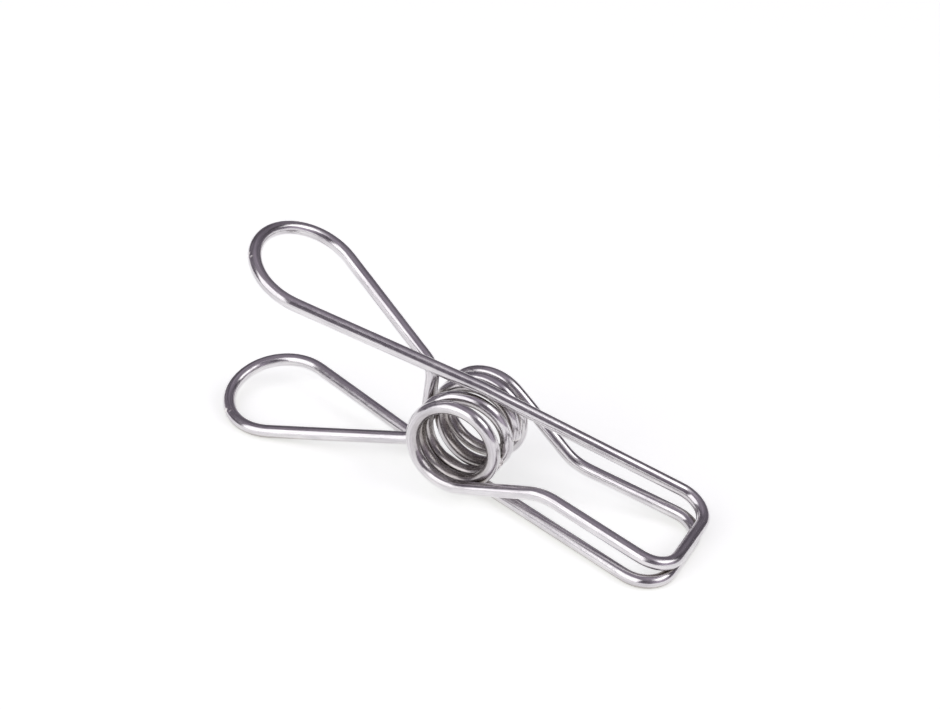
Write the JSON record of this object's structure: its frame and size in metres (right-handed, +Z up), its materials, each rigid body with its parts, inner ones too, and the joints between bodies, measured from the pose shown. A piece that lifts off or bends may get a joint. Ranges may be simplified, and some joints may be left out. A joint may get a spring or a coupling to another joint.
{
  "type": "wire clothes peg",
  "caption": "Sprung clothes peg bent from round stainless wire: teardrop finger loops, a coil spring and rectangular jaw frames that close tip on tip.",
  "frame": {"origin": "middle of the coil, on its axis, which is the axis the levers turn about", "axes": "+Y along the coil's axis, +X from the finger loops to the jaws, +Z up from the surface that the peg lies on"},
  "size_m": [0.0636, 0.0185, 0.0275],
  "materials": {
    "stainless_wire": "polished"
  },
  "bodies": {
    "lower_lever": {"lower_spring_arm": "stainless_wire", "lower_jaw_cranked_rail": "stainless_wire", "lower_jaw_tip": "stainless_wire", "lower_jaw_straight_rail": "stainless_wire", "lower_handle_bar": "stainless_wire", "lower_finger_loop": "stainless_wire", "lower_return_leg": "stainless_wire", "lower_hooked_end": "stainless_wire"},
    "upper_lever": {"upper_spring_arm": "stainless_wire", "upper_jaw_cranked_rail": "stainless_wire", "upper_jaw_tip": "stainless_wire", "upper_jaw_straight_rail": "stainless_wire", "upper_handle_bar": "stainless_wire", "upper_finger_loop": "stainless_wire", "upper_return_leg": "stainless_wire", "upper_hooked_end": "stainless_wire"},
    "coil_near_turn": {"coil_near_turn": "stainless_wire"},
    "coil_near_half_turn": {"coil_near_half_turn": "stainless_wire"},
    "coil_near_crossover": {"coil_near_crossover": "stainless_wire"},
    "coil_far_crossover": {"coil_far_crossover": "stainless_wire"},
    "coil_far_half_turn": {"coil_far_half_turn": "stainless_wire"},
    "coil_far_turn": {"coil_far_turn": "stainless_wire"}
  },
  "joints": [
    {"name": "squeeze_hinge", "type": "hinge", "parent": "lower_lever", "child": "upper_lever", "pos_m": [0, 0, 0], "axis": [0, -1, 0], "range_deg": [0, 32], "stiffness_Nm_per_rad": 0.4, "springref_deg": -20.05},
    {"name": "coil_near_turn_twist", "type": "hinge", "parent": "lower_lever", "child": "coil_near_turn", "pos_m": [0, 0, 0], "axis": [0, -1, 0], "range_deg": [0, 27.93]},
    {"name": "coil_near_half_turn_twist", "type": "hinge", "parent": "lower_lever", "child": "coil_near_half_turn", "pos_m": [0, 0, 0], "axis": [0, -1, 0], "range_deg": [0, 23.36]},
    {"name": "coil_near_crossover_twist", "type": "hinge", "parent": "lower_lever", "child": "coil_near_crossover", "pos_m": [0, 0, 0], "axis": [0, -1, 0], "range_deg": [0, 18.79]},
    {"name": "coil_far_crossover_twist", "type": "hinge", "parent": "lower_lever", "child": "coil_far_crossover", "pos_m": [0, 0, 0], "axis": [0, -1, 0], "range_deg": [0, 14.21]},
    {"name": "coil_far_half_turn_twist", "type": "hinge", "parent": "lower_lever", "child": "coil_far_half_turn", "pos_m": [0, 0, 0], "axis": [0, -1, 0], "range_deg": [0, 9.64]},
    {"name": "coil_far_turn_twist", "type": "hinge", "parent": "lower_lever", "child": "coil_far_turn", "pos_m": [0, 0, 0], "axis": [0, -1, 0], "range_deg": [0, 5.07]}
  ],
  "couplings": [
    {"joint": "coil_near_turn_twist", "follows": "squeeze_hinge", "ratio": 0.85714},
    {"joint": "coil_near_half_turn_twist", "follows": "squeeze_hinge", "ratio": 0.71429},
    {"joint": "coil_near_crossover_twist", "follows": "squeeze_hinge", "ratio": 0.57143},
    {"joint": "coil_far_crossover_twist", "follows": "squeeze_hinge", "ratio": 0.42857},
    {"joint": "coil_far_half_turn_twist", "follows": "squeeze_hinge", "ratio": 0.28571},
    {"joint": "coil_far_turn_twist", "follows": "squeeze_hinge", "ratio": 0.14286}
  ]
}
